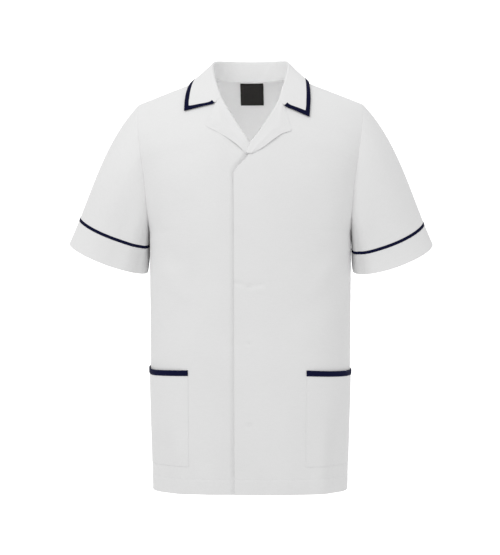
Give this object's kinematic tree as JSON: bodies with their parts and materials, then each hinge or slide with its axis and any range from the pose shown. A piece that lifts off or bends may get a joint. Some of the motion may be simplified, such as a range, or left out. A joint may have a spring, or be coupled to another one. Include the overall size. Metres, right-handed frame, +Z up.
{
  "type": "work tunic",
  "caption": "Short-sleeved work tunic, hollow as worn, with an open collar, contrast trims, a lapped front with hidden fastening and patch pockets.",
  "frame": {"origin": "midway between the middles of the two shoulder seams, where the tunic hangs on its wearer", "axes": "+X to the wearer's left, -Y out of the front, +Z up"},
  "size_m": [0.6711, 0.2604, 0.7955],
  "materials": {
    "white_cloth": "plain-woven polyester and cotton, matt",
    "navy_cloth": "plain-woven navy cloth, matt",
    "black_label": "woven satin label"
  },
  "bodies": {
    "root": {"front_right": "white_cloth", "front_left": "white_cloth", "back": "white_cloth", "sleeve_right": "white_cloth", "sleeve_left": "white_cloth", "sleeve_trim_right": "navy_cloth", "sleeve_trim_left": "navy_cloth", "cuff_right": "white_cloth", "cuff_left": "white_cloth", "collar": "white_cloth", "collar_trim": "navy_cloth", "revers_right": "white_cloth", "revers_left": "white_cloth", "pocket_right": "white_cloth", "pocket_left": "white_cloth", "pocket_trim_right": "navy_cloth", "pocket_trim_left": "navy_cloth", "neck_label": "black_label"}
  },
  "joints": []
}
